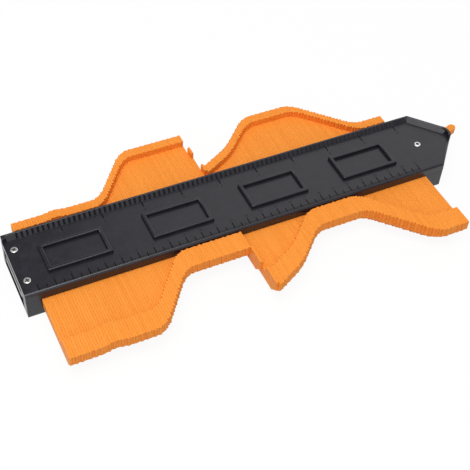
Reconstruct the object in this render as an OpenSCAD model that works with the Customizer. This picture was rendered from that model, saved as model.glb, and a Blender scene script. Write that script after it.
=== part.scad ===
/* [Housing] */
// Width of the housing, across the ruler and along the blades
housing_w = 46.4; // [40:0.2:56]
// Height from the underside to the flat top
housing_h = 18.5; // [17.5:0.5:24]
// Length of the solid block at the left end
end_block_l = 8.9; // [8:0.1:14]
// Distance from the last blade to the shoulder of the nose
neck_l = 12.7; // [11:0.1:18]
// Length of the nose, from its shoulder to the point where its edges would meet
nose_l = 20.6; // [18:0.1:28]
// Rounding radius of the nose's tip
nose_r = 7; // [4:0.5:9]
// Thickness of the floor under the blades
floor_t = 4.9; // [3.5:0.1:6]
// Thickness of the upper cover's top wall
cover_wall = 2.4; // [1.6:0.1:3.6]
// Thickness of the upper cover's front and rear skirts
skirt_t = 2.6; // [1.6:0.1:4]
// Thickness of the ribs under the upper cover
rib_t = 2; // [1.2:0.1:4]
// Number of pockets between those ribs
pocket_count = 8; // [4:1:12]

/* [Rear rim] */
// Height of the raised rim along the rear edge
rim_h = 3.2; // [1.5:0.1:5]
// Width of the rim's flat top
rim_top = 1.1; // [0.8:0.1:3]
// Run of the rim's inner slope, which carries the inch scale
rim_slope = 2.1; // [1:0.1:4]
// Length of the rim's square end, at the left
rim_end_l = 2.6; // [1:0.1:6]
// Distance behind the middle line at which the slope ends, at the nose
rim_stop = 1.5; // [0:0.1:4]
// Width of the rim round the nose's tip
tip_rim_w = 1.5; // [1.2:0.1:3]

/* [Raised frames] */
// Number of raised frames on the top
frame_count = 4; // [1:1:4]
// Outer length of a frame
frame_l = 38.5; // [24:0.5:50]
// Outer width of a frame
frame_w = 20.8; // [12:0.2:26]
// Width of a frame's wall
frame_wall = 2.4; // [1.2:0.1:4]
// Height of a frame above the flat top
frame_h = 2.2; // [0.6:0.1:3]
// Distance from one frame to the next
frame_pitch = 63.7; // [54:0.1:66]
// Distance from the left end to the first frame
frame_first = 17.7; // [14:0.1:26]
// Distance of the frames' middle line in front of the housing's
frame_shift = 1.1; // [0:0.1:3]

/* [Left end slot] */
// Width of the slot in the left end face
slot_w = 38; // [20:0.5:39]
// Height of that slot
slot_h = 5.8; // [2:0.1:6.4]
// Depth of that slot
slot_d = 5; // [2:0.1:6]
// Thickness of the wall under that slot
slot_base = 1.6; // [1:0.1:3]

/* [Blades] */
// Number of blades in the stack
blade_count = 164; // [140:4:180]
// Distance from one blade to the next
blade_pitch = 1.55; // [1.4:0.05:1.7]
// Gap between neighbouring blades
blade_gap = 0.12; // [0.06:0.02:0.3]
// Travel of a blade, from one stop to the other
travel = 38.8; // [30:0.2:50]
// Height of a blade's sliding part
blade_h = 7; // [6:0.1:8]
// Length of a blade's front head
front_head_l = 13.4; // [6:0.1:18]
// Length of a blade's rear head
rear_head_l = 6.2; // [4:0.1:10]
// Rise of the heads above the sliding part
head_rise = 4.3; // [2:0.1:5.5]
// Height of the blunt end faces
tip_h = 6.5; // [3:0.1:9]

/* [Traced profile] */
// Depth of the traced profile
profile_depth = 33.4; // [0:0.2:38]
// Scale reading where the first hump starts to rise
hump_a_start = 55.5; // [40:0.5:60]
// Scale reading where the first hump is at its full height
hump_a_full = 81; // [70:0.5:95]
// Scale reading where the first hump breaks off
hump_a_drop = 121.6; // [110:0.2:124]
// Scale reading where it has dropped all the way
hump_a_end = 125.5; // [124.5:0.5:130]
// Scale reading where the second hump starts to rise
hump_b_start = 123.5; // [120:0.5:140]
// Scale reading where the second hump turns steeper
hump_b_knee = 146; // [142:0.5:155]
// Share of the full depth at that reading
knee_share = 0.36; // [0.1:0.02:0.8]
// Scale reading where the second hump is at its full height
hump_b_full = 167.5; // [160:0.5:180]
// Scale reading where the second hump starts to fall
hump_b_drop = 202; // [195:0.5:215]
// Scale reading where it has fallen all the way
hump_b_end = 234; // [225:0.5:254]
// Distance to each side over which the humps' corners are rounded
corner_soft = 4; // [0:0.5:6]
// Depth of the small dent in the first flat
dent_depth = 1.2; // [0:0.1:3]
// Scale reading of that dent
dent_at = 26.5; // [15:0.5:40]
// Unevenness from blade to blade
jitter = 0.5; // [0:0.05:1]

/* [Lock] */
// Distance from the last blade to the lever's pivot
pivot_d = 6.5; // [6.3:0.1:9]
// Distance of the pivot in front of the housing's middle line
pivot_shift = 0.8; // [0:0.1:2]
// Radius of the post that the lever turns on
post_r = 2; // [1.7:0.1:2.2]
// Radius of the lever's cam
cam_r = 3.5; // [3.3:0.1:3.8]
// Offset of the cam's centre from the pivot
cam_throw = 0.6; // [0.2:0.1:0.8]
// Thickness of the lever's arm
lever_t = 4.2; // [2:0.1:5]
// Distance of the thumb tip beyond the pivot, along the housing
thumb_x = 37.2; // [32:0.2:44]
// Distance of the thumb tip behind the pivot
thumb_y = 12.7; // [8:0.1:16]
// Radius of the thumb tip
thumb_r = 2.5; // [2:0.1:4]
// Distance of the lever's neck beyond the pivot
neck_x = 30.3; // [27:0.1:32]
// Distance of the lever's neck behind the pivot
neck_y = 6.2; // [3:0.1:9]
// Radius of the lever's neck
neck_r = 2.8; // [2:0.1:4]
// Distance of the lever's front corner beyond the pivot
corner_x = 22.8; // [18:0.2:26]
// Distance of the lever's front corner in front of the pivot
corner_y = 3.6; // [0:0.1:4]
// Radius of the lever's front corner
corner_r = 2.3; // [1.5:0.1:3]
// Thickness of the pressure plate
plate_t = 2.2; // [1.6:0.1:2.3]
// Length of the pressure plate
plate_l = 36; // [24:0.5:38]

/* [Screws] */
// Radius of the screw heads
screw_head_r = 2.2; // [1.8:0.1:2.8]
// Height of the screw heads
screw_head_h = 1.3; // [1:0.1:2]
// Depth of the recesses that the heads sit in
screw_seat = 0.9; // [0.4:0.1:1.2]
// Radius of the screw shanks
shank_r = 1.1; // [0.8:0.1:1.2]
// Length of the screws under their heads
shank_l = 8.6; // [7:0.1:9]
// Distance between the two end screws
screw_spread = 24.8; // [16:0.2:32]
// Distance from the left end to the end screws
screw_inset = 4.8; // [4:0.1:5]
// Radius of the driver recess in the pivot screw
socket_r = 1.1; // [0.6:0.1:1.3]

/* [Clearances] */
// Gap above and below the blades, the lever and the plate
slide_gap = 0.2; // [0.1:0.05:0.4]
// Gap between the stack and the end block
side_gap = 0.3; // [0.2:0.05:0.6]
// Gap between a blade's head and the housing at the end of its travel
stop_gap = 0.3; // [0.1:0.05:0.6]
// Gap on each side of the locked pressure plate
press_gap = 0.1; // [0.06:0.02:0.15]
// Gap between the lever's bore and the post, and round the screw shanks
fit_gap = 0.05; // [0.02:0.01:0.1]
// Gap round the screw heads and shanks in the upper cover
screw_gap = 0.2; // [0.1:0.05:0.4]
// Gap between the lever and the wall in front of it
lever_gap = 0.8; // [0.4:0.1:2]

/* [Hidden] */
$fn = 48;
blades_per_set = 4;
set_count = ceil(blade_count / blades_per_set);
over = 1;
big = 400;

stack_l = blade_count * blade_pitch;
stack_x0 = -stack_l / 2;
stack_x1 = stack_l / 2;
left_x = stack_x0 - side_gap - end_block_l;
shoulder_x = stack_x1 + neck_l;
half_w = housing_w / 2;
nose_a = atan2(half_w, nose_l);
tip_cx = shoulder_x + nose_l - nose_r / sin(nose_a);
tip_tangent = nose_r * [sin(nose_a), cos(nose_a)];

blade_z = floor_t + slide_gap;
split_z = blade_z + blade_h + slide_gap;
blade_t = blade_pitch - blade_gap;
head_z = blade_z + blade_h + head_rise;
tip_z = head_z - tip_h;
undercut = tip_z - blade_z;
blade_l = housing_w + 2 * stop_gap + front_head_l + rear_head_l + travel;
tip_y_back = -half_w - stop_gap - front_head_l;

pivot_x = stack_x1 + pivot_d;
pivot_y = -pivot_shift;
plate_x = stack_x1 + press_gap;
plate_back_x = pivot_x - cam_r + cam_throw + press_gap;
lever_wall_y = pivot_y - corner_y - corner_r - lever_gap;
lever_z = blade_z + (blade_h - lever_t) / 2;

end_screw_x = left_x + screw_inset;
seat_z = housing_h - screw_seat;
pilot_z = seat_z - shank_l - over;
pocket_l = (stack_l - rib_t * (pocket_count + 1)) / pocket_count;

function set_name(k) = str("blade_set_", k < 10 ? "0" : "", k);

// The two humps as lines: scale reading and share of the full depth
flank_a = [[hump_a_start, 0], [hump_a_full, 1]];
hump_b = [
  [hump_b_start, 0],
  [hump_b_knee, knee_share],
  [hump_b_full, 1],
  [hump_b_drop, 1],
  [hump_b_end, 0]
];

// The height of a line at a scale reading, with the line's corners rounded
function softened(at, line) =
  (lookup(at - corner_soft, line) + lookup(at, line) + lookup(at + corner_soft, line)) / 3;

// A rise from 0 to 1 between two scale readings, level at both ends
function rise(from, to, at) =
  let (u = max(0, min(1, (at - from) / (to - from)))) u * u * (3 - 2 * u);

// How far the traced shape has pushed the blade at a scale reading, from 0 to 1
function pushed(at) = at < hump_a_end
  ? softened(at, flank_a) * (1 - rise(hump_a_drop, hump_a_end, at))
  : softened(at, hump_b);

function dent(at) = dent_depth * exp(-pow((at - dent_at) / 5, 2));
function unevenness(i) = jitter * (1 + sin(i * 211)) / 2;

// How far a blade stands forward of its rearmost place
function forward(i) =
  let (at = (i + 0.5) * blade_pitch)
  max(0, min(travel, profile_depth * (1 - pushed(at)) - dent(at) + unevenness(i)));

// Plan of the housing: a ruler with a pointed, rounded nose
module housing_plan() {
  polygon([
    [left_x, -half_w],
    [shoulder_x, -half_w],
    [tip_cx + tip_tangent.x, -tip_tangent.y],
    [tip_cx + tip_tangent.x, tip_tangent.y],
    [shoulder_x, half_w],
    [left_x, half_w]
  ]);
  translate([tip_cx, 0]) circle(nose_r);
}

// The rim along one straight edge: all that lies outside its sloping inner face
module rim_side() {
  rotate([90, 0, 90])
    linear_extrude(2 * big, center = true)
      polygon([
        [-rim_top - 2 * rim_slope, housing_h - rim_h],
        [-rim_top + rim_slope, housing_h + 2 * rim_h],
        [big, housing_h + 2 * rim_h],
        [big, housing_h - rim_h]
      ]);
}

// The rim's narrow end, which runs on round the nose's tip
module tip_rim() {
  translate([tip_cx, 0, housing_h - over])
    linear_extrude(big)
      difference() {
        polygon([[0, 0], 2 * [tip_tangent.x, -tip_tangent.y], 2 * tip_tangent]);
        circle(nose_r - tip_rim_w);
      }
}

// All that lies above the flat top, apart from the rim
module above_flat_top() {
  difference() {
    translate([-big, -big, housing_h]) cube([2 * big, 2 * big, rim_h + over]);
    translate([0, half_w, 0]) rim_side();
    intersection() {
      translate([shoulder_x, half_w, 0]) rotate([0, 0, -nose_a]) rim_side();
      translate([-big, rim_stop, 0]) cube(2 * big);
    }
    // Square end at the left
    translate([left_x - over, half_w - rim_top - rim_slope, housing_h - over])
      cube([rim_end_l + over, big, big]);
    tip_rim();
  }
}

module raised_frame() {
  translate([0, 0, housing_h - over])
    linear_extrude(frame_h + over)
      difference() {
        square([frame_l, frame_w]);
        translate([frame_wall, frame_wall])
          square([frame_l - 2 * frame_wall, frame_w - 2 * frame_wall]);
      }
}

module at_end_screws() {
  for (side = [-1, 1])
    translate([end_screw_x, side * screw_spread / 2, 0]) children();
}

module at_pivot() {
  translate([pivot_x, pivot_y, 0]) children();
}

module screw_hole() {
  translate([0, 0, seat_z]) cylinder(r = screw_head_r + screw_gap, h = screw_head_h + over);
  translate([0, 0, split_z - over]) cylinder(r = shank_r + screw_gap, h = housing_h);
}

module pilot_hole() {
  translate([0, 0, pilot_z]) cylinder(r = shank_r + fit_gap, h = housing_h);
}

module screw() {
  translate([0, 0, seat_z]) cylinder(r = screw_head_r, h = screw_head_h);
  translate([0, 0, seat_z - shank_l]) cylinder(r = shank_r, h = shank_l + over / 2);
}

module upper_cover() {
  color("#454449")
  difference() {
    union() {
      difference() {
        translate([0, 0, split_z])
          linear_extrude(housing_h + rim_h - split_z) housing_plan();
        above_flat_top();
      }
      for (i = [0 : frame_count - 1])
        translate([left_x + frame_first + i * frame_pitch, -frame_shift - frame_w / 2, 0])
          raised_frame();
    }
    for (i = [0 : pocket_count - 1])
      translate([stack_x0 + rib_t + i * (pocket_l + rib_t), -half_w + skirt_t, split_z - over])
        cube([pocket_l, housing_w - 2 * skirt_t, housing_h - cover_wall - split_z + over]);
    at_end_screws() screw_hole();
    at_pivot() screw_hole();
  }
}

module lower_cover() {
  color("#3b3a3f")
  difference() {
    union() {
      difference() {
        linear_extrude(split_z) housing_plan();
        // Channel for the blades
        translate([stack_x0 - side_gap, -big, floor_t])
          cube([stack_l + side_gap + press_gap, 2 * big, split_z]);
        // Seat of the pressure plate
        translate([stack_x1, -plate_l / 2 - slide_gap, floor_t])
          cube([plate_back_x - stack_x1, plate_l + 2 * slide_gap, split_z]);
        // Space for the lever, open at the tip and along the nose's rear edge
        translate([plate_back_x, lever_wall_y, floor_t])
          cube([big, big, split_z]);
        // Slot in the left end face
        translate([left_x - over, -slot_w / 2, slot_base])
          cube([slot_d + over, slot_w, slot_h]);
      }
      at_pivot() cylinder(r = post_r, h = split_z);
    }
    at_end_screws() pilot_hole();
    at_pivot() pilot_hole();
  }
}

module end_screws() {
  color("#c9c9c6")
  at_end_screws() screw();
}

module pivot_screw() {
  color("#c9c9c6")
  at_pivot()
    difference() {
      screw();
      translate([0, 0, seat_z + over / 2]) cylinder(r = socket_r, h = screw_head_h);
    }
}

module lock_lever() {
  color("#f6963a")
  at_pivot()
    difference() {
      union() {
        translate([-cam_throw, 0, blade_z]) cylinder(r = cam_r, h = blade_h);
        translate([0, 0, lever_z])
          linear_extrude(lever_t) {
            hull() {
              circle(post_r + fit_gap + cam_throw);
              translate([neck_x, neck_y]) circle(neck_r);
              translate([corner_x, -corner_y]) circle(corner_r);
            }
            hull() {
              translate([neck_x, neck_y]) circle(neck_r);
              translate([thumb_x, thumb_y]) circle(thumb_r);
            }
          }
      }
      cylinder(r = post_r + fit_gap, h = housing_h);
    }
}

module pressure_plate() {
  color("#2c2b2f")
  translate([plate_x, -plate_l / 2, blade_z])
    cube([plate_t, plate_l, blade_h]);
}

// One blade, seen from its side: a bar with a raised, undercut head at each end
module blade(i) {
  front = tip_y_back - forward(i);
  translate([stack_x0 + i * blade_pitch + blade_gap / 2, front, 0])
    rotate([90, 0, 90])
      linear_extrude(blade_t)
        polygon([
          [0, tip_z],
          [0, head_z],
          [front_head_l, head_z],
          [front_head_l, head_z - head_rise],
          [blade_l - rear_head_l, head_z - head_rise],
          [blade_l - rear_head_l, head_z],
          [blade_l, head_z],
          [blade_l, tip_z],
          [blade_l - undercut, blade_z],
          [undercut, blade_z]
        ]);
}

// The k-th set of neighbouring blades
module blade_set(k) {
  first = (k - 1) * blades_per_set;
  last = min(first + blades_per_set, blade_count) - 1;
  color("#f79a3c")
  for (i = [first : last]) blade(i);
}

upper_cover();
lower_cover();
end_screws();
pivot_screw();
lock_lever();
pressure_plate();
for (k = [1 : set_count])
  blade_set(k);
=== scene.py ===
# %% [markdown]
# # Dressing a contour gauge
# A contour gauge copies a shape: a stack of thin blades slides through a ruler, and a lever locks them.
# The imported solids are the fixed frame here, in metres. Each cell models one piece over them, at the size
# and place that the frame gives, and hides the plain solid that it stands for.

# %% Load the frame
import math

import bmesh
import bpy
from mathutils import Matrix, Vector


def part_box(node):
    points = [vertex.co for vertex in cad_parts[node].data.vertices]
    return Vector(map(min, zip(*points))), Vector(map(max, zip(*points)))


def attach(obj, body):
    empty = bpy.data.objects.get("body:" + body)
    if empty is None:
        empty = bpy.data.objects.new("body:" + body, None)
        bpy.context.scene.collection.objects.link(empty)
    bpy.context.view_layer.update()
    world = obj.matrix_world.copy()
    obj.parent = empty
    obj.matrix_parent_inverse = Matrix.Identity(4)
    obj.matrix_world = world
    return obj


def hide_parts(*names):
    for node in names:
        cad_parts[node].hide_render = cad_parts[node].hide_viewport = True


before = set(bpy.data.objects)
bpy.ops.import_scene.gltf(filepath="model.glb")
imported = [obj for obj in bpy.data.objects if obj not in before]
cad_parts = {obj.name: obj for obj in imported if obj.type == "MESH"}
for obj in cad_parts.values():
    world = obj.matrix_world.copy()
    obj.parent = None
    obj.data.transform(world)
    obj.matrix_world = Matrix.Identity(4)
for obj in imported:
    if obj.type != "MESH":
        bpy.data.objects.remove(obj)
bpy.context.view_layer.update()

MM = 0.001

# %% [markdown]
# ## Ways of working
# Modelling by hand is a few moves made again and again: open one piece in edit mode, pick faces or edges
# by where they lie, act on them with an operator, and leave edit mode. Each move gets a short helper
# here, so that the later cells read like a list of those moves. An edge counts as sharp from 35 degrees,
# and a face or an edge counts as lying at a place within a tenth of a millimetre.

# %% Helpers for edit mode
SHARP = math.radians(35)
UPRIGHT = 0.9
TOUCH = 0.1 * MM
DOUBLE = 0.001 * MM


def activate(piece):
    """Selects one piece alone."""
    bpy.ops.object.select_all(action="DESELECT")
    piece.select_set(True)
    bpy.context.view_layer.objects.active = piece


def start_editing(piece, mode="FACE"):
    """Opens one piece in edit mode, with nothing in it selected."""
    activate(piece)
    bpy.ops.object.mode_set(mode="EDIT")
    bpy.ops.mesh.select_mode(type=mode)
    bpy.ops.mesh.select_all(action="DESELECT")


def stop_editing():
    bpy.ops.object.mode_set(mode="OBJECT")


def pick_faces(test):
    """Selects the faces whose middle and normal pass a test, and nothing else."""
    bpy.ops.mesh.select_mode(type="FACE")
    bpy.ops.mesh.select_all(action="DESELECT")
    mesh = bpy.context.edit_object.data
    shape = bmesh.from_edit_mesh(mesh)
    for face in shape.faces:
        if test(face.calc_center_bounds(), face.normal):
            face.select_set(True)
    bmesh.update_edit_mesh(mesh)


def pick_edges(test, least_angle=0.0):
    """Selects the edges whose two ends pass a test and whose faces meet at an angle, and nothing else."""
    bpy.ops.mesh.select_mode(type="EDGE")
    bpy.ops.mesh.select_all(action="DESELECT")
    mesh = bpy.context.edit_object.data
    shape = bmesh.from_edit_mesh(mesh)
    for edge in shape.edges:
        if edge.calc_face_angle(math.pi) >= least_angle and test(edge.verts[0].co, edge.verts[1].co):
            edge.select_set(True)
    bmesh.update_edit_mesh(mesh)


def pick_points(test):
    """Selects the vertices that pass a test, and nothing else."""
    bpy.ops.mesh.select_mode(type="VERT")
    bpy.ops.mesh.select_all(action="DESELECT")
    mesh = bpy.context.edit_object.data
    shape = bmesh.from_edit_mesh(mesh)
    for vertex in shape.verts:
        if test(vertex.co):
            vertex.select_set(True)
    bmesh.update_edit_mesh(mesh)


def faces_up(middle, normal):
    return normal.z > UPRIGHT


def faces_down(middle, normal):
    return normal.z < -UPRIGHT


def cut_along(test, point, normal):
    """Cuts the faces that pass a test along a plane."""
    pick_faces(test)
    bpy.ops.mesh.bisect(plane_co=point, plane_no=normal)


def soften(test, width, segments=3):
    """Rounds the sharp edges whose two ends pass a test."""
    pick_edges(test, SHARP)
    bpy.ops.mesh.bevel(offset=width, segments=segments, affect="EDGES")


def extrude(x=0.0, z=0.0):
    """Extrudes what is selected along a straight line."""
    bpy.ops.mesh.extrude_region_move(TRANSFORM_OT_translate={"value": (x, 0, z)})


def tidy_normals(gap=DOUBLE):
    """Merges points closer than a gap and turns every face outwards."""
    bpy.ops.mesh.select_all(action="SELECT")
    bpy.ops.mesh.remove_doubles(threshold=gap)
    bpy.ops.mesh.normals_make_consistent(inside=False)


# %% [markdown]
# Modifiers act on a whole piece. Each is applied at once here, so that the next step works on plain
# faces. A finished piece is then dressed: smooth shading, a material, and the body that it moves with.

# %% Helpers for whole pieces
SMOOTH_BELOW = math.radians(32)


def apply_modifier(piece, modifier):
    activate(piece)
    bpy.ops.object.modifier_apply(modifier=modifier.name)


def round_edges(piece, width, segments=2):
    """Rounds every sharp edge of a piece, as a mould does."""
    bevel = piece.modifiers.new("rounding", "BEVEL")
    bevel.width = width
    bevel.segments = segments
    bevel.limit_method = "ANGLE"
    bevel.angle_limit = SHARP
    apply_modifier(piece, bevel)


def cut_away(piece, cutter, operation="DIFFERENCE"):
    """Takes a cutter's shape out of a piece, or adds it, and removes the cutter."""
    cut = piece.modifiers.new("cut", "BOOLEAN")
    cut.operation = operation
    cut.solver = "EXACT"
    cut.object = cutter
    apply_modifier(piece, cut)
    bpy.data.objects.remove(cutter)


def settle(piece, name):
    """Names a new primitive and puts its place into its mesh."""
    piece.name = name
    piece.data.name = name
    bpy.ops.object.transform_apply(location=True, rotation=True, scale=True)
    return piece


def add_block(name, low, high):
    """A block between two corners."""
    low, high = Vector(low), Vector(high)
    bpy.ops.object.select_all(action="DESELECT")
    bpy.ops.mesh.primitive_cube_add(size=1, location=(low + high) / 2, scale=high - low)
    return settle(bpy.context.object, name)


def add_drum(name, centre, radius, low_z, high_z, sides=48):
    """An upright cylinder between two heights."""
    bpy.ops.object.select_all(action="DESELECT")
    bpy.ops.mesh.primitive_cylinder_add(
        vertices=sides,
        radius=radius,
        depth=high_z - low_z,
        location=(centre[0], centre[1], (low_z + high_z) / 2),
    )
    return settle(bpy.context.object, name)


def join(pieces, name):
    """Makes several pieces one."""
    activate(pieces[0])
    for piece in pieces[1:]:
        piece.select_set(True)
    bpy.ops.object.join()
    pieces[0].name = name
    return pieces[0]


def dress(piece, material, body, slot, *nodes):
    """Gives a finished piece its smooth shading, its material and its place in the frame."""
    activate(piece)
    bpy.ops.object.shade_smooth_by_angle(angle=SMOOTH_BELOW)
    flatness = piece.modifiers.new("flat_faces", "WEIGHTED_NORMAL")
    flatness.keep_sharp = True
    apply_modifier(piece, flatness)
    piece.data.materials.clear()
    piece.data.materials.append(material)
    if nodes:
        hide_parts(*nodes)
    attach(piece, body)
    print(piece.name, "has", len(piece.data.polygons), "faces and rides on", body)


# %% [markdown]
# ## Materials
# All the plastic here is moulded, so it is never one flat colour: a mould leaves a fine grain, and the
# melt leaves soft streaks. Both are noise in Object coordinates, at the scale of the real grain, with a
# bump for the light.

# %% Helper for materials
def new_material(name):
    """A material with a Principled shader, and its node tree."""
    material = bpy.data.materials.new(name)
    material.use_nodes = True
    tree = material.node_tree
    return material, tree, tree.nodes["Principled BSDF"]


def add_node(tree, kind, links=None, **settings):
    """A node with its settings, and links given as {input: output socket or value}."""
    made = tree.nodes.new(kind)
    for key, value in settings.items():
        setattr(made, key, value)
    for key, source in (links or {}).items():
        if isinstance(source, bpy.types.NodeSocket):
            tree.links.new(source, made.inputs[key])
        else:
            made.inputs[key].default_value = source
    return made


NOISE_DETAIL = 3.0


def object_noise(tree, size, stretch=(1, 1, 1)):
    """Noise with features of a given size in metres, stretched along the axes."""
    place = add_node(tree, "ShaderNodeTexCoord")
    scale = [1 / (size * s) for s in stretch]
    mapping = add_node(tree, "ShaderNodeMapping", {"Vector": place.outputs["Object"], "Scale": scale})
    noise = add_node(
        tree,
        "ShaderNodeTexNoise",
        {"Vector": mapping.outputs[0], "Scale": 1.0, "Detail": NOISE_DETAIL},
    )
    return noise.outputs["Fac"]


def spread(tree, value, low, high, from_low=0.3, from_high=0.7):
    """Spreads a noise value over a range."""
    made = add_node(
        tree,
        "ShaderNodeMapRange",
        {"Value": value, "From Min": from_low, "From Max": from_high, "To Min": low, "To Max": high},
    )
    return made.outputs[0]


def two_tone(tree, factor, first, second):
    """A blend of two colours."""
    made = add_node(tree, "ShaderNodeMix", data_type="RGBA")
    made.inputs[6].default_value = (*first, 1)
    made.inputs[7].default_value = (*second, 1)
    tree.links.new(factor, made.inputs[0])
    return made.outputs[2]


def bump(tree, shader, height, depth, strength):
    """Bumps a shader's surface by a height map."""
    made = add_node(tree, "ShaderNodeBump", {"Height": height, "Distance": depth, "Strength": strength})
    tree.links.new(made.outputs[0], shader.inputs["Normal"])


# %% [markdown]
# The housing is black plastic from a spark-eroded mould, with a fine even grain and faint clouds in its
# gloss. One flat black would look like a hole, so noise blends two close blacks, and more noise moves the
# roughness. The scales' marks and numbers, and the hidden plate, follow the same recipe with other
# values. The marks and numbers are moulded in the same black, so their darker blacks are painted shade.

# %% Black moulding of the housing
CLOUD_SIZE = 9 * MM
GLOSS_SIZE, GLOSS_CHANGE = 4 * MM, 0.05
GRAIN_SIZE, GRAIN_DEPTH, GRAIN_STRENGTH = 0.28 * MM, 0.02 * MM, 0.5


def black_moulding(name, dark, light, roughness, shine=0.5):
    """Black plastic with a fine spark-eroded grain and faint clouds in its gloss."""
    material, tree, shader = new_material(name)
    clouds = spread(tree, object_noise(tree, CLOUD_SIZE), 0, 1)
    tree.links.new(two_tone(tree, clouds, dark, light), shader.inputs["Base Color"])
    patches = object_noise(tree, GLOSS_SIZE)
    gloss = spread(tree, patches, roughness - GLOSS_CHANGE, roughness + GLOSS_CHANGE)
    tree.links.new(gloss, shader.inputs["Roughness"])
    shader.inputs["Specular IOR Level"].default_value = shine
    bump(tree, shader, object_noise(tree, GRAIN_SIZE), GRAIN_DEPTH, GRAIN_STRENGTH)
    return material


black = black_moulding("black_moulding", (0.0105, 0.0102, 0.0155), (0.0150, 0.0146, 0.0210), 0.26)
# Painted shade: the marks and numbers get darker blacks than the housing, standing in for the shade in
# moulded marks.
mark_painted_shade = black_moulding("mark_painted_shade", (0.004, 0.004, 0.005), (0.007, 0.007, 0.008), 0.6, 0.1)
number_painted_shade = black_moulding("number_painted_shade", (0.006, 0.006, 0.008), (0.009, 0.009, 0.011), 0.45, 0.3)
plate_black = black_moulding("plate_black", (0.010, 0.010, 0.011), (0.016, 0.016, 0.018), 0.5)
print(f"the black finishes have a grain of {GRAIN_SIZE / MM:.2f} mm")

# %% [markdown]
# The orange plastic is bright, and less glossy than the black. Its melt ran along the blade, so the
# streaks are stretched along Y. Each blade also has its own slight tone: the blade's number along the
# stack picks it.

# %% Orange moulding of the blades and the lever
ORANGE_DEEP, ORANGE_PALE = (0.88, 0.277, 0.034), (0.95, 0.328, 0.050)
ORANGE_ROUGHNESS = (0.44, 0.58)
ORANGE_SHINE = 0.15
STREAK_SIZE = 2.2 * MM
FLOW_SIZE, FLOW_DEPTH, FLOW_STRENGTH = 0.35 * MM, 0.012 * MM, 0.5
OWN_TONE = 0.55
BLADE_PITCH = 1.55 * MM


def orange_moulding(name, streaks, tone_step=None):
    """Orange plastic with flow streaks, and a tone of its own for each step along X if a step is given."""
    material, tree, shader = new_material(name)
    tone = spread(tree, object_noise(tree, STREAK_SIZE, streaks), 0, 1)
    if tone_step:
        place = add_node(tree, "ShaderNodeTexCoord")
        axes = add_node(tree, "ShaderNodeSeparateXYZ", {"Vector": place.outputs["Object"]})
        steps = add_node(tree, "ShaderNodeMath", {0: axes.outputs["X"], 1: tone_step}, operation="DIVIDE")
        number = add_node(tree, "ShaderNodeMath", {0: steps.outputs[0]}, operation="FLOOR")
        own = add_node(tree, "ShaderNodeTexWhiteNoise", {"W": number.outputs[0]}, noise_dimensions="1D")
        blend = add_node(
            tree,
            "ShaderNodeMix",
            {0: OWN_TONE, 2: tone, 3: own.outputs["Value"]},
            data_type="FLOAT",
        )
        tone = blend.outputs[0]
    tree.links.new(two_tone(tree, tone, ORANGE_DEEP, ORANGE_PALE), shader.inputs["Base Color"])
    tree.links.new(spread(tree, tone, *ORANGE_ROUGHNESS, 0, 1), shader.inputs["Roughness"])
    shader.inputs["Specular IOR Level"].default_value = ORANGE_SHINE
    bump(tree, shader, object_noise(tree, FLOW_SIZE, streaks), FLOW_DEPTH, FLOW_STRENGTH)
    return material


blade_orange = orange_moulding("blade_orange", (1, 14, 1), BLADE_PITCH)
lever_orange = orange_moulding("lever_orange", (3, 1, 1))
print(f"the orange finishes have streaks of {STREAK_SIZE / MM:.1f} mm")

# %% [markdown]
# The screws are plated steel. Metal is mostly reflection, so its roughness matters more than its colour,
# and worn spots are duller. The driver recess gets painted shade: it lies lower than the head, so height
# places a dark, less metallic colour there.

# %% Plated steel of the screws
screw_low, screw_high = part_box("end_screws")
SCREW_TOP = screw_high.z
STEEL_WORN, STEEL_BRIGHT = (0.70, 0.69, 0.67), (0.88, 0.88, 0.87)
WEAR_SIZE = 0.8 * MM
WORN_ROUGHNESS, BRIGHT_ROUGHNESS = 0.36, 0.24
# Painted shade: below the head's top the steel turns dark and less metallic, standing in for the shade in the
# recess.
RECESS_SHADE_METALLIC = 0.3
RECESS_SHADE_COLOUR = (0.06, 0.058, 0.055, 1)
RECESS_SHADE_BELOW, RECESS_SHADE_ABOVE = SCREW_TOP - 0.6 * MM, SCREW_TOP - 0.35 * MM
TURNING_SIZE, TURNING_DEPTH, TURNING_STRENGTH = 0.15 * MM, 0.006 * MM, 0.4


def plated_steel(name):
    """Bright plated steel with turning marks, a little wear, and painted shade in the driver recess."""
    material, tree, shader = new_material(name)
    wear = spread(tree, object_noise(tree, WEAR_SIZE), 0, 1)
    plating = two_tone(tree, wear, STEEL_WORN, STEEL_BRIGHT)
    place = add_node(tree, "ShaderNodeTexCoord")
    axes = add_node(tree, "ShaderNodeSeparateXYZ", {"Vector": place.outputs["Object"]})
    # The painted shade of the recess, full below one height and gone above another.
    recess_shade = spread(tree, axes.outputs["Z"], 1, 0, RECESS_SHADE_BELOW, RECESS_SHADE_ABOVE)
    blend = add_node(tree, "ShaderNodeMix", {0: recess_shade, 6: plating}, data_type="RGBA")
    blend.inputs[7].default_value = RECESS_SHADE_COLOUR
    tree.links.new(blend.outputs[2], shader.inputs["Base Color"])
    tree.links.new(spread(tree, recess_shade, 1, RECESS_SHADE_METALLIC, 0, 1), shader.inputs["Metallic"])
    tree.links.new(spread(tree, wear, WORN_ROUGHNESS, BRIGHT_ROUGHNESS, 0, 1), shader.inputs["Roughness"])
    turning = object_noise(tree, TURNING_SIZE, (6, 1, 1))
    bump(tree, shader, turning, TURNING_DEPTH, TURNING_STRENGTH)
    return material


steel = plated_steel("plated_steel")
finishes = (black, mark_painted_shade, number_painted_shade, plate_black, blade_orange, lever_orange, steel)
print("finishes:", ", ".join(finish.name for finish in finishes))

# %% [markdown]
# ## The housing's outline
# Both covers share one plan: a ruler with a pointed nose. It starts as a plane. The right edge is
# extruded to the point where the nose's edges would meet, merged there, and that corner is rounded with a
# vertex bevel.

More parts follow.
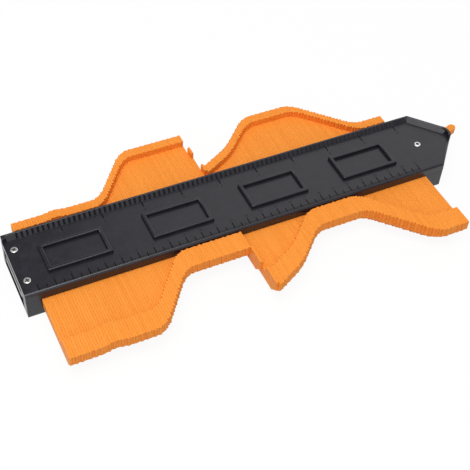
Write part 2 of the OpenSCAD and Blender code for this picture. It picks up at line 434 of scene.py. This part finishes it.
# %% Plan of the housing
top_low, top_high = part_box("upper_cover")
LEFT = top_low.x
HALF_W = top_high.y
SPLIT = top_low.z
NOSE_R = 7 * MM
NOSE_L = 20.6 * MM
NOSE_ANGLE = math.atan2(HALF_W, NOSE_L)
NOSE_POINT = top_high.x - NOSE_R + NOSE_R / math.sin(NOSE_ANGLE)
SHOULDER = NOSE_POINT - NOSE_L


def add_plan(name, z):
    """A flat face with the housing's outline, at a height."""
    bpy.ops.object.select_all(action="DESELECT")
    middle = ((LEFT + SHOULDER) / 2, 0, z)
    bpy.ops.mesh.primitive_plane_add(size=1, location=middle)
    bpy.context.object.scale = (SHOULDER - LEFT, 2 * HALF_W, 1)
    plan = settle(bpy.context.object, name)
    start_editing(plan, "EDGE")
    pick_edges(lambda a, b: a.x > SHOULDER - MM and b.x > SHOULDER - MM)
    extrude(x=NOSE_L)
    bpy.ops.mesh.merge(type="CENTER")
    pick_points(lambda p: p.x > NOSE_POINT - MM)
    bpy.ops.mesh.bevel(offset=NOSE_R / math.tan(NOSE_ANGLE), segments=16, affect="VERTICES")
    bpy.ops.mesh.select_mode(type="FACE")
    bpy.ops.mesh.select_all(action="SELECT")
    bpy.ops.mesh.dissolve_faces()
    return plan


print(f"the housing runs from {LEFT / MM:.1f} to {top_high.x / MM:.1f} mm")

# %% [markdown]
# ## Upper cover
# The top is one moulding, so it is modelled as one mesh. The outline is extruded to the height of the
# flat top. The top face is then cut along the edges of the four frames and of the rear rim, and those
# strips are extruded upwards. Pulling the rim's inner edge back down turns its inner wall into the slope
# that carries the inch scale.

# %% Upper cover
RIM_H = 3.2 * MM
RIM_TOP = 1.1 * MM
RIM_SLOPE = 2.1 * MM
RIM_END = 2.6 * MM
RIM_STOP = 1.5 * MM
RIM_DRAFT = 0.25 * MM
HAIR = 0.01 * MM
DECK = top_high.z - RIM_H
FRAME_COUNT = 4
FRAME_L = 38.5 * MM
FRAME_W = 20.8 * MM
FRAME_WALL = 2.4 * MM
FRAME_H = 2.2 * MM
FRAME_PITCH = 63.7 * MM
FRAME_FIRST = LEFT + 17.7 * MM
FRAME_SHIFT = -1.1 * MM
NOSE_NORMAL = Vector((math.sin(NOSE_ANGLE), math.cos(NOSE_ANGLE), 0))
SHOULDER_CORNER = Vector((SHOULDER, HALF_W, 0))


def rim_depth(point):
    """How far a point lies inside the housing's rear edge or the nose's rear edge."""
    behind = SHOULDER_CORNER - point
    return min(HALF_W - point.y, behind.dot(NOSE_NORMAL))


def on_deck(middle, normal):
    return faces_up(middle, normal) and abs(middle.z - DECK) < TOUCH


def in_frame_wall(middle, normal):
    """Whether a cell of the flat top belongs to the wall of one of the raised frames."""
    along = (middle.x - FRAME_FIRST) % FRAME_PITCH
    if not on_deck(middle, normal) or middle.x < FRAME_FIRST or along > FRAME_L:
        return False
    if middle.x > FRAME_FIRST + FRAME_COUNT * FRAME_PITCH:
        return False
    across = abs(middle.y - FRAME_SHIFT)
    inner = FRAME_WALL < along < FRAME_L - FRAME_WALL and across < FRAME_W / 2 - FRAME_WALL
    return across < FRAME_W / 2 and not inner


def in_rim(middle, normal):
    return on_deck(middle, normal) and middle.y > RIM_STOP and rim_depth(middle) < RIM_TOP + RIM_SLOPE


def at_slope_foot(point):
    """Whether a point of the raised rim lies on its inner edge, right of the rim's square end."""
    inner = rim_depth(point) > RIM_TOP + RIM_SLOPE - HAIR
    return inner and point.z > top_high.z - TOUCH and point.x > LEFT + RIM_END + RIM_DRAFT / 2


top_cover = add_plan("top_cover", SPLIT)
extrude(z=DECK - SPLIT)
tidy_normals()
for i in range(FRAME_COUNT):
    start = FRAME_FIRST + i * FRAME_PITCH
    for x in (start, start + FRAME_WALL, start + FRAME_L - FRAME_WALL, start + FRAME_L):
        cut_along(on_deck, (x, 0, 0), (1, 0, 0))
for half in (FRAME_W / 2, FRAME_W / 2 - FRAME_WALL):
    for side in (-1, 1):
        cut_along(on_deck, (0, FRAME_SHIFT + side * half, 0), (0, 1, 0))
for depth in (RIM_TOP, RIM_TOP + RIM_SLOPE):
    cut_along(on_deck, (0, HALF_W - depth, 0), (0, 1, 0))
    cut_along(on_deck, SHOULDER_CORNER - depth * NOSE_NORMAL, NOSE_NORMAL)
for x in (LEFT + RIM_END, LEFT + RIM_END + RIM_DRAFT):
    cut_along(on_deck, (x, 0, 0), (1, 0, 0))
cut_along(on_deck, SHOULDER_CORNER, Vector((0, 1, 0)) - NOSE_NORMAL)
cut_along(on_deck, (0, RIM_STOP, 0), (0, 1, 0))

pick_faces(in_frame_wall)
extrude(z=FRAME_H)
pick_faces(in_rim)
extrude(z=RIM_H)
pick_points(at_slope_foot)
bpy.ops.transform.translate(value=(0, 0, -RIM_H))
tidy_normals()
print("the upper cover has", len(top_cover.data.polygons), "faces before its edges are rounded")

# %% [markdown]
# A mould has no knife edges. The edges that catch the light are rounded one group at a time: the front
# edge most, the frames and the rim less, and the seam with the lower cover hardly at all.

# %% Soft edges of the upper cover
FRONT_ROUND = 1.9 * MM
FRAME_ROUND = 0.6 * MM
RIM_ROUND = 0.3 * MM
END_ROUND = 0.35 * MM
SEAM_ROUND = 0.1 * MM
NEAR = 0.02 * MM
TIP_CENTRE = Vector((top_high.x - NOSE_R, 0, 0))
TIP_START = TIP_CENTRE.x + NOSE_R * NOSE_NORMAL.x - NEAR


def level(a, b, z):
    """Whether both ends of an edge lie at a height."""
    return max(abs(a.z - z), abs(b.z - z)) < NEAR


def front_depth(point):
    """How far a point lies inside the housing's front edge or the nose's front edge."""
    return rim_depth(Vector((point.x, -point.y, 0)))


soften(lambda a, b: level(a, b, DECK) and max(front_depth(a), front_depth(b)) < NEAR, FRONT_ROUND, 4)
soften(lambda a, b: level(a, b, DECK + FRAME_H), FRAME_ROUND)
soften(lambda a, b: level(a, b, top_high.z) and min(a.x, b.x) < TIP_START, RIM_ROUND, 2)
soften(lambda a, b: max(a.x, b.x) < LEFT + NEAR, END_ROUND, 2)
soften(lambda a, b: level(a, b, SPLIT), SEAM_ROUND, 2)
stop_editing()
print("the upper cover has", len(top_cover.data.polygons), "faces with its edges rounded")

# %% [markdown]
# The rim narrows at the nose and runs on round the tip. This part is the same outline once more, cut down
# to a wedge with two bisects, bored out with a drum and united with the cover.

# %% Narrow rim round the tip
TIP_RIM = 1.5 * MM
tip_rim = add_plan("tip_rim", DECK - MM)
extrude(z=RIM_H + MM)
tidy_normals()
for side in (-1, 1):
    bpy.ops.mesh.select_all(action="SELECT")
    outward = (-NOSE_NORMAL.y, side * NOSE_NORMAL.x, 0)
    bpy.ops.mesh.bisect(plane_co=TIP_CENTRE, plane_no=outward, clear_outer=True, use_fill=True)
stop_editing()
cut_away(tip_rim, add_drum("tip_inside", TIP_CENTRE, NOSE_R - TIP_RIM, DECK - 2 * MM, top_high.z + MM, 96))
cut_away(top_cover, tip_rim, "UNION")
print("the upper cover has", len(top_cover.data.polygons), "faces with its tip")

# %% [markdown]
# The screws sit in round recesses, and the left end has a gap above the seam. An opening in a flat face
# is quickest as a drum or a block taken away with a Boolean, which keeps the rest of the mesh as it is.

# %% Screw recesses and end gap
pivot_low, pivot_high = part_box("pivot_screw")
HEAD_R = 2.2 * MM
HEAD_GAP = 0.2 * MM
HEAD_SEAT = DECK - 0.9 * MM
pivot_at = (pivot_low + pivot_high) / 2
end_screw_x = (screw_low.x + screw_high.x) / 2
end_screw_y = screw_high.y - HEAD_R
screw_places = [(end_screw_x, -end_screw_y), (end_screw_x, end_screw_y), (pivot_at.x, pivot_at.y)]
for place in screw_places:
    cut_away(top_cover, add_drum("recess", place, HEAD_R + HEAD_GAP, HEAD_SEAT, DECK + MM))
END_GAP_H = 2.4 * MM
END_GAP = (-15 * MM, 19 * MM)
END_GAP_DEPTH = 3 * MM
end_gap_low = (LEFT - MM, END_GAP[0], SPLIT - MM)
end_gap_high = (LEFT + END_GAP_DEPTH, END_GAP[1], SPLIT + END_GAP_H)
cut_away(top_cover, add_block("end_gap", end_gap_low, end_gap_high))
print("the upper cover has", len(top_cover.data.polygons), "faces with its openings")

# %% [markdown]
# The rim's slope carries the inch scale: a small groove at every eighth of an inch, which starts at the
# first blade. One wedge is a block whose lower face is drawn together to a line. It is laid into the
# slope and repeated with an Array, so that the scale is exact from end to end, and a Boolean takes the
# whole row away at once. Points that the cuts leave almost on top of each other are merged at the end.

# %% Grooves of the inch scale
INCH = 25.4 * MM
EIGHTHS = 81
first_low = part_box("blade_set_01")[0]
SCALE_ZERO = first_low.x - 0.06 * MM
GROOVE_W, GROOVE_D = 1.8 * MM, 0.8 * MM
GROOVE_PROUD = 0.15 * MM
GROOVE_SHARE = 0.88
slope_angle = math.atan2(RIM_H, RIM_SLOPE)
GROOVE_L = GROOVE_SHARE * math.hypot(RIM_H, RIM_SLOPE)
slope_middle = Vector((SCALE_ZERO, HALF_W - RIM_TOP - RIM_SLOPE / 2, DECK + RIM_H / 2))


def repeat(piece, count, step):
    """Repeats a piece at even steps along X, in one mesh."""
    row = piece.modifiers.new("row", "ARRAY")
    row.count = count
    row.use_relative_offset = False
    row.use_constant_offset = True
    row.constant_offset_displace = (step, 0, 0)
    apply_modifier(piece, row)


groove_low = (-GROOVE_W / 2, -GROOVE_L / 2, -GROOVE_D)
groove_high = (GROOVE_W / 2, GROOVE_L / 2, GROOVE_PROUD)
grooves = add_block("grooves", groove_low, groove_high)
start_editing(grooves)
pick_faces(faces_down)
bpy.ops.transform.resize(value=(0, 1, 1))
tidy_normals()
stop_editing()
grooves.data.transform(Matrix.Translation(slope_middle) @ Matrix.Rotation(slope_angle, 4, "X"))
repeat(grooves, EIGHTHS, INCH / 8)
cut_away(top_cover, grooves)
start_editing(top_cover)
tidy_normals(NEAR)
stop_editing()
dress(top_cover, black, "housing", "black_plastic", "upper_cover")

# %% [markdown]
# ## Lower cover
# The lower cover is a floor with a block at each end, and the blades run between the blocks. The floor is
# the outline extruded to its thickness. Its top is cut where the blocks start, and they are extruded to
# the seam with the upper cover. The slot in the left end is a block with two raised ends, taken away with
# a Boolean: it leaves a tongue between the slot and the gap above.

# %% Lower cover
blade_set_names = sorted(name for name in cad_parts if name.startswith("blade_set"))
last_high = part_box(blade_set_names[-1])[1]
plate_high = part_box("pressure_plate")[1]
FLOOR_GAP, LEFT_GAP, RIGHT_GAP = 0.2 * MM, 0.36 * MM, 0.16 * MM
PLATE_ROOM, PLATE_GAP = 1.4 * MM, 0.2 * MM
LEVER_ROOM = 6.7 * MM
BASE_ROUND = 0.3 * MM
FLOOR = first_low.z - FLOOR_GAP
CHANNEL_LEFT = first_low.x - LEFT_GAP
CHANNEL_RIGHT = last_high.x + RIGHT_GAP
SEAT_BACK = plate_high.x + PLATE_ROOM
SEAT_HALF = plate_high.y + PLATE_GAP
LEVER_WALL = pivot_at.y - LEVER_ROOM
SLOT = (-17 * MM, 19 * MM)
SLOT_LOW, SLOT_HIGH = 1.2 * MM, 7.6 * MM
SLOT_DEPTH = 5 * MM
TONGUE = (-14 * MM, 15.5 * MM)
FRONT_NOTCH, REAR_NOTCH = 10 * MM, SPLIT + MM


def on_floor(middle, normal):
    return faces_up(middle, normal) and abs(middle.z - FLOOR) < TOUCH


def in_block(middle, normal):
    """Whether a cell of the floor carries one of the blocks that reach up to the seam."""
    if not on_floor(middle, normal):
        return False
    if middle.x < CHANNEL_LEFT:
        return True
    if middle.x > SEAT_BACK:
        return middle.y < LEVER_WALL
    return middle.x > CHANNEL_RIGHT and abs(middle.y) > SEAT_HALF


base_cover = add_plan("base_cover", 0)
extrude(z=FLOOR)
tidy_normals()
for x in (CHANNEL_LEFT, CHANNEL_RIGHT, SEAT_BACK):
    cut_along(on_floor, (x, 0, 0), (1, 0, 0))
for y in (-SEAT_HALF, LEVER_WALL, SEAT_HALF):
    cut_along(lambda m, n: on_floor(m, n) and m.x > CHANNEL_RIGHT, (0, y, 0), (0, 1, 0))
pick_faces(in_block)
extrude(z=SPLIT - FLOOR)
tidy_normals()
stop_editing()
round_edges(base_cover, BASE_ROUND)
opening = add_block("opening", (LEFT - MM, SLOT[0], SLOT_LOW), (LEFT + SLOT_DEPTH, SLOT[1], SLOT_HIGH))
start_editing(opening)
for y in TONGUE:
    cut_along(faces_up, (0, y, 0), (0, 1, 0))
pick_faces(lambda m, n: faces_up(m, n) and m.y < TONGUE[0])
extrude(z=FRONT_NOTCH - SLOT_HIGH)
pick_faces(lambda m, n: faces_up(m, n) and m.y > TONGUE[1])
extrude(z=REAR_NOTCH - SLOT_HIGH)
tidy_normals()
stop_editing()
cut_away(base_cover, opening)
dress(base_cover, black, "housing", "black_plastic", "lower_cover")

# %% [markdown]
# ## Blades
# All the blades are the same moulding: a bar with a raised head at each end and an undercut below each
# tip. One is modelled from a block and copied. The frame's own solids say where each copy stands, so the
# traced profile is read from them and not written down again. Each copy has few faces, because there are
# so many.

# %% One blade
HEAD_RISE = 4.3 * MM
FRONT_HEAD = 13.4 * MM
REAR_HEAD = 6.2 * MM
TIP_H = 6.5 * MM
BLADE_GAP = 0.05 * MM
BLADE_ROUND = 0.07 * MM
BLADES_PER_SET = 4


def blade_places(node_name):
    """The lowest corner and the size of each blade in a set, read from the solid's own vertices."""
    places = []
    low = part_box(node_name)[0]
    points = [v.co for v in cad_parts[node_name].data.vertices]
    for i in range(BLADES_PER_SET):
        start = low.x + i * BLADE_PITCH
        own = [p for p in points if start - BLADE_GAP < p.x < start + BLADE_PITCH - BLADE_GAP]
        corner = Vector(min(p[axis] for p in own) for axis in range(3))
        places.append((corner, Vector(max(p[axis] for p in own) for axis in range(3)) - corner))
    return places


blade_size = blade_places(blade_set_names[0])[0][1]
BLADE_T = BLADE_PITCH - BLADE_GAP
BAR_H = blade_size.z - HEAD_RISE
UNDERCUT = blade_size.z - TIP_H


def in_head(point):
    return point.y < FRONT_HEAD or point.y > blade_size.y - REAR_HEAD


def model_blade():
    """One blade with its lowest front edge at the origin, as thick as its place in the stack allows."""
    spare = (BLADE_T - blade_size.x) / 2
    blade = add_block("blade", (-spare, 0, 0), (blade_size.x + spare, blade_size.y, BAR_H))
    start_editing(blade)
    for y in (FRONT_HEAD, blade_size.y - REAR_HEAD):
        cut_along(faces_up, (0, y, 0), (0, 1, 0))
    pick_faces(lambda m, n: faces_up(m, n) and in_head(m))
    extrude(z=HEAD_RISE)
    tidy_normals()
    pick_edges(lambda a, b: max(a.z, b.z, abs(a.y - b.y)) < TOUCH)
    bpy.ops.mesh.bevel(offset=UNDERCUT, segments=1, affect="EDGES")
    stop_editing()
    round_edges(blade, BLADE_ROUND, 1)
    return blade


blade = model_blade()
print("a blade has", len(blade.data.polygons), "faces")

# %% [markdown]
# The profile is made by where each blade stands. The blade is copied to every place, each copy with a
# mesh of its own, and the copies of a set are joined, because a set moves as one body.

# %% The whole stack
def copy_blade(corner, name):
    """A copy of the blade, with its own mesh, at a place."""
    made = blade.copy()
    made.data = blade.data.copy()
    made.data.transform(Matrix.Translation(corner))
    made.name = name
    bpy.context.scene.collection.objects.link(made)
    return made


for node_name in blade_set_names:
    number = node_name[-2:]
    corners = [place[0] for place in blade_places(node_name)]
    copies = [copy_blade(corner, f"blade_{number}_{i}") for i, corner in enumerate(corners)]
    dress(join(copies, f"blades_{number}"), blade_orange, node_name, "orange_plastic", node_name)
bpy.data.objects.remove(blade)

# %% [markdown]
# ## Lock lever and pressure plate
# The lever is a flat arm between the two covers: a boss round the post, a heel and a neck inside the
# nose, and a thumb tip that stands out behind it. Its outline is two hulls of drums, which edit mode's
# convex hull gives in one step. The cam is added, and the bore taken away.

# %% Lever
lever_low, lever_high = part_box("lock_lever")
LEVER_T = 4.2 * MM
THUMB, THUMB_R = (37.2 * MM, 12.7 * MM), 2.49 * MM
HEEL, HEEL_R = (20.2 * MM, -3.6 * MM), 2.0 * MM
NECK, NECK_R = (20.5 * MM, 6.4 * MM), 2.5 * MM
POST_R = 2.05 * MM
CAM_R, CAM_THROW = 3.5 * MM, 0.6 * MM
BOSS_R = POST_R + CAM_THROW
LEVER_ROUND = 0.5 * MM
FLAT = math.radians(1)
arm_low = (lever_low.z + lever_high.z - LEVER_T) / 2
arm_high = arm_low + LEVER_T


def from_pivot(offset):
    return (pivot_at.x + offset[0], pivot_at.y + offset[1])


def add_arm(name, *rounds):
    """A flat arm: the hull of upright drums, given as places and radii."""
    drums = [add_drum("drum", from_pivot(at), radius, arm_low, arm_high) for at, radius in rounds]
    hull = join(drums, name)
    start_editing(hull)
    bpy.ops.mesh.select_all(action="SELECT")
    bpy.ops.mesh.convex_hull()
    bpy.ops.mesh.dissolve_limited(angle_limit=FLAT)
    tidy_normals()
    stop_editing()
    return hull


lever = add_arm("lever", ((0, 0), BOSS_R), (HEEL, HEEL_R), (NECK, NECK_R))
cut_away(lever, add_arm("thumb", ((0, 0), BOSS_R), (THUMB, THUMB_R)), "UNION")
cut_away(lever, add_drum("cam", from_pivot((-CAM_THROW, 0)), CAM_R, lever_low.z, lever_high.z), "UNION")
cut_away(lever, add_drum("bore", from_pivot((0, 0)), POST_R, lever_low.z - MM, lever_high.z + MM))
round_edges(lever, LEVER_ROUND, 3)
dress(lever, lever_orange, "lever", "orange_plastic", "lock_lever")

# %% [markdown]
# The pressure plate is a flat bar between the cam and the last blade, which spreads the lever's push. It
# is inside the housing and hardly shows, so its solid stays as it is and only gets a material.

# %% Pressure plate
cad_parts["pressure_plate"].data.materials.clear()
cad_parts["pressure_plate"].data.materials.append(plate_black)
print("the pressure plate keeps its solid")

# %% [markdown]
# ## Screws
# Small screws show a lot of light, so their heads are worth a few faces. A head is a drum with a domed
# edge. The cross recess is taken out with two crossed blocks. The screw at the nose has a plain round
# socket instead, which makes it look like a bright ring.

# %% Screws
HEAD_H = 1.3 * MM
SHANK_R = 1.1 * MM
SHANK_L = 8.6 * MM
CROSS_L, CROSS_W, CROSS_D = 2.8 * MM, 0.8 * MM, 0.9 * MM
SOCKET_R, SOCKET_D = 1.05 * MM, 1.0 * MM
SCREW_TURNS = (20, 65)
END_DOME, NOSE_DOME = 0.45 * MM, 0.55 * MM
SOCKET_ROUND = 0.12 * MM


def model_screw(name, place, dome):
    """A screw with a domed head, standing in its recess."""
    screw = add_drum(name, place, HEAD_R, HEAD_SEAT, HEAD_SEAT + HEAD_H)
    start_editing(screw)
    pick_faces(faces_down)
    bpy.ops.mesh.inset(thickness=HEAD_R - SHANK_R)
    extrude(z=-SHANK_L)
    pick_edges(lambda a, b: min(a.z, b.z) > HEAD_SEAT + HEAD_H - HAIR)
    bpy.ops.mesh.bevel(offset=dome, segments=4, affect="EDGES")
    stop_editing()
    return screw


def cut_cross(screw, place, turn):
    """Takes a cross recess out of a screw's head, turned by an angle in degrees."""
    top = HEAD_SEAT + HEAD_H
    low = (-CROSS_L / 2, -CROSS_W / 2, top - CROSS_D)
    high = (CROSS_L / 2, CROSS_W / 2, top + MM)
    for angle in (turn, turn + 90):
        bar = add_block("cross_bar", low, high)
        bar.data.transform(Matrix.Rotation(math.radians(angle), 4, "Z"))
        bar.data.transform(Matrix.Translation((*place, 0)))
        cut_away(screw, bar)


end_screws = []
for place, turn in zip(screw_places[:2], SCREW_TURNS):
    screw = model_screw("end_screw", place, END_DOME)
    cut_cross(screw, place, turn)
    end_screws.append(screw)
dress(join(end_screws, "end_screw_pair"), steel, "housing", "steel", "end_screws")

pivot_screw = model_screw("nose_screw", screw_places[2], NOSE_DOME)
cut_away(
    pivot_screw,
    add_drum("socket", screw_places[2], SOCKET_R, HEAD_SEAT + HEAD_H - SOCKET_D, HEAD_SEAT + HEAD_H + MM, 32),
)
round_edges(pivot_screw, SOCKET_ROUND)
dress(pivot_screw, steel, "housing", "steel", "pivot_screw")

# %% [markdown]
# ## Rulers
# The front edge has a centimetre scale on the flat top, and a long mark on the flat top stands at every
# inch of the rear scale. A mark is a thin bar that sinks a little into the cover. One bar is modelled,
# rounded and repeated. Each row is given by its step, its first place, its count, and the length and
# width of a mark.

# %% Centimetre and inch marks
MARK_H = 0.05 * MM
MARK_SINK = 0.2 * MM
MARK_ROUND = 0.05 * MM
CM_EDGE = -HALF_W + 1.45 * MM
CM_SHIFT = -0.3 * MM
CM_MARKS = (
    (10 * MM, CM_SHIFT, 26, 5.0 * MM, 0.7 * MM),
    (10 * MM, CM_SHIFT + 5 * MM, 25, 3.1 * MM, 0.65 * MM),
    (1 * MM, CM_SHIFT, 251, 1.4 * MM, 0.34 * MM),
)
INCH_EDGE = HALF_W - RIM_TOP - RIM_SLOPE
INCH_SHIFT = 0.4 * MM
INCH_MARKS = (INCH, INCH + INCH_SHIFT, 10, 4.2 * MM, 0.8 * MM)


def flat_marks(name, step, first, count, length, width, edge, direction):
    """A row of marks on the flat top, from an edge line inwards."""
    ends = sorted((edge, edge + direction * length))
    x = SCALE_ZERO + first
    row = add_block(name, (x - width / 2, ends[0], DECK - MARK_SINK), (x + width / 2, ends[1], DECK + MARK_H))
    round_edges(row, MARK_ROUND, 1)
    repeat(row, count, step)
    return row


rows = [flat_marks(f"cm_row_{i}", *marks, CM_EDGE, 1) for i, marks in enumerate(CM_MARKS)]
# The marks wear the darker black, which is painted shade.
dress(join(rows, "centimetre_marks"), mark_painted_shade, "housing", "black_plastic")
dress(flat_marks("inch_marks", *INCH_MARKS, INCH_EDGE, -1), mark_painted_shade, "housing", "black_plastic")

# %% [markdown]
# The numbers are moulded along with the marks. A text object draws the figures. It is made a mesh before
# its place is applied, so that it stays where it was set, and all the numbers become one piece.

# %% Numbers
NUMBER_SIZE = 2.6 * MM
CM_NUMBER_Y = CM_EDGE + 6.7 * MM
INCH_NUMBER_Y = INCH_EDGE - 6.4 * MM


def add_number(value, x, y):
    """A number beyond the end of a mark, sunk into the flat top as the marks are."""
    bpy.ops.object.select_all(action="DESELECT")
    bpy.ops.object.text_add(location=(x, y, DECK + (MARK_H - MARK_SINK) / 2))
    letters = bpy.context.object.data
    letters.body = str(value)
    letters.size = NUMBER_SIZE
    letters.align_x = "CENTER"
    letters.align_y = "CENTER"
    letters.resolution_u = 2
    letters.extrude = (MARK_H + MARK_SINK) / 2
    bpy.ops.object.convert(target="MESH")
    return settle(bpy.context.object, f"number_{value}")


numbers = [add_number(i, SCALE_ZERO + CM_SHIFT + i * 10 * MM, CM_NUMBER_Y) for i in range(1, 26)]
numbers += [add_number(i, SCALE_ZERO + INCH_SHIFT + i * INCH, INCH_NUMBER_Y) for i in range(1, 11)]
scale_numbers = join(numbers, "scale_numbers")
start_editing(scale_numbers)
tidy_normals()
stop_editing()
# The numbers wear a darker black too, which is painted shade.
dress(scale_numbers, number_painted_shade, "housing", "black_plastic")

# %% [markdown]
# ## Camera
# The gauge carries its own rulers, so the view could be worked out from their marks: where the camera
# stands, how far it is tilted, and its lens. It is set here as an orbit round a point on the gauge.

# %% Camera
TARGET = Vector((-9.95, -26.6, 18.5)) * MM
AZIMUTH, ELEVATION, ROLL = (math.radians(a) for a in (-28.314, 47.481, 3.922))
DISTANCE = 585.1 * MM
LENS = 76.23
UP = Vector((0, 0, 1))
CLIP_START = 0.01

back = Vector(
    (
        math.sin(AZIMUTH) * math.cos(ELEVATION),
        -math.cos(AZIMUTH) * math.cos(ELEVATION),
        math.sin(ELEVATION),
    )
)
right = Matrix.Rotation(ROLL, 3, back) @ UP.cross(back).normalized()
over = back.cross(right)
camera = bpy.data.objects.new("camera", bpy.data.cameras.new("camera"))
bpy.context.scene.collection.objects.link(camera)
camera.data.lens = LENS
camera.data.clip_start = CLIP_START
turn = Matrix((right, over, back)).transposed().to_4x4()
camera.matrix_world = Matrix.Translation(TARGET + DISTANCE * back) @ turn
bpy.context.scene.camera = camera
print("the camera stands at", [round(x, 4) for x in camera.location])

# %% [markdown]
# ## Studio
# The gauge lies on a plain table. Its own colour is a light grey, so that it doesn't throw too much light
# back at the gauge. Towards the camera and in reflections it glows white, which keeps the page white and
# a faint shadow on it.

# %% Table
GLOW, GLOW_STRENGTH = 0.88, 1.05
TABLE_SIZE, TABLE_DROP = 8, 0.1 * MM
TABLE_GREY, TABLE_ROUGHNESS = (0.6, 0.6, 0.6, 1), 0.9
bpy.ops.object.select_all(action="DESELECT")
bpy.ops.mesh.primitive_plane_add(size=TABLE_SIZE, location=(0, 0, -TABLE_DROP))
table = bpy.context.object
table.name = "table"
table_white, tree, shader = new_material("table_white")
shader.inputs["Base Color"].default_value = TABLE_GREY
shader.inputs["Roughness"].default_value = TABLE_ROUGHNESS


def seen_ray(tree):
    """1 for a ray from the camera or from a mirror or glass, and 0 for the light's own paths."""
    path = add_node(tree, "ShaderNodeLightPath")
    sharp = add_node(
        tree,
        "ShaderNodeMath",
        {0: path.outputs["Is Camera Ray"], 1: path.outputs["Is Glossy Ray"]},
        operation="MAXIMUM",
    )
    seen = add_node(
        tree,
        "ShaderNodeMath",
        {0: sharp.outputs[0], 1: path.outputs["Is Transmission Ray"]},
        operation="MAXIMUM",
    )
    return seen.outputs[0]


glow = add_node(tree, "ShaderNodeEmission", {"Color": (1, 1, 1, 1), "Strength": GLOW_STRENGTH})
share = add_node(tree, "ShaderNodeMath", {0: seen_ray(tree), 1: GLOW}, operation="MULTIPLY")
mix = add_node(tree, "ShaderNodeMixShader", {0: share.outputs[0], 1: shader.outputs[0], 2: glow.outputs[0]})
tree.links.new(mix.outputs[0], tree.nodes["Material Output"].inputs["Surface"])
table.data.materials.append(table_white)
print("the table is", TABLE_SIZE, "m wide")

# %% [markdown]
# An even white sky fills the shadows. Glossy plastic mirrors what is around it, so the sky has two darker
# sides, like walls that no lamp lights. They keep the flat top and the front edge from washing out. Each
# side is given by its direction, the cosines where its shade starts and is full, and how bright it stays.

# %% Sky
SKY = 0.44
UNLIT_SIDES = (
    ((-0.30, 0.62, 0.72), 0.83, 0.905, 0.15),
    ((0.75, -0.62, 0.22), 0.80, 0.93, 0.30),
)
world = bpy.data.worlds.new("studio")
world.use_nodes = True
bpy.context.scene.world = world
tree = world.node_tree
soft = tree.nodes["Background"]
soft.inputs["Color"].default_value = (1, 1, 1, 1)
soft.inputs["Strength"].default_value = SKY
way = add_node(tree, "ShaderNodeTexCoord")
shades = []
for towards, starts, ends, least in UNLIT_SIDES:
    facing = add_node(
        tree,
        "ShaderNodeVectorMath",
        {0: way.outputs["Generated"], 1: towards},
        operation="DOT_PRODUCT",
    )
    shades.append(spread(tree, facing.outputs["Value"], 1, least, starts, ends))
shade = add_node(tree, "ShaderNodeMath", {0: shades[0], 1: shades[1]}, operation="MINIMUM").outputs[0]
path = add_node(tree, "ShaderNodeLightPath")
page = add_node(tree, "ShaderNodeMath", {0: path.outputs["Is Camera Ray"], 1: shade}, operation="MAXIMUM")
white = add_node(tree, "ShaderNodeBackground", {"Color": (1, 1, 1, 1), "Strength": page.outputs[0]})
mix = add_node(tree, "ShaderNodeMixShader", {0: seen_ray(tree), 1: soft.outputs[0], 2: white.outputs[0]})
tree.links.new(mix.outputs[0], tree.nodes["World Output"].inputs["Surface"])
print("the sky has", len(UNLIT_SIDES), "darker sides")

# %% [markdown]
# Two soft lamps do the rest: a large one above for the flat faces, and a weaker one in front for the
# blades' front faces. Both are dim enough for the orange to keep its colour.

# %% Lamps
TOP_LAMP = ("top_softbox", (-0.25, -0.15, 1.2), 0.9, 10.2)
FRONT_LAMP = ("front_softbox", (-0.75, -0.95, 0.6), 0.92, 3.4)


def add_softbox(name, place, size, power):
    """A square soft lamp that faces the gauge; place and size are in metres, power in watts."""
    lamp = bpy.data.objects.new(name, bpy.data.lights.new(name, "AREA"))
    bpy.context.scene.collection.objects.link(lamp)
    lamp.data.size = size
    lamp.data.energy = power
    lamp.location = place
    lamp.rotation_euler = (-Vector(place)).to_track_quat("-Z", "Y").to_euler()


add_softbox(*TOP_LAMP)
add_softbox(*FRONT_LAMP)
bpy.context.scene.view_settings.view_transform = "Standard"
print("lamps:", TOP_LAMP[0], "and", FRONT_LAMP[0])
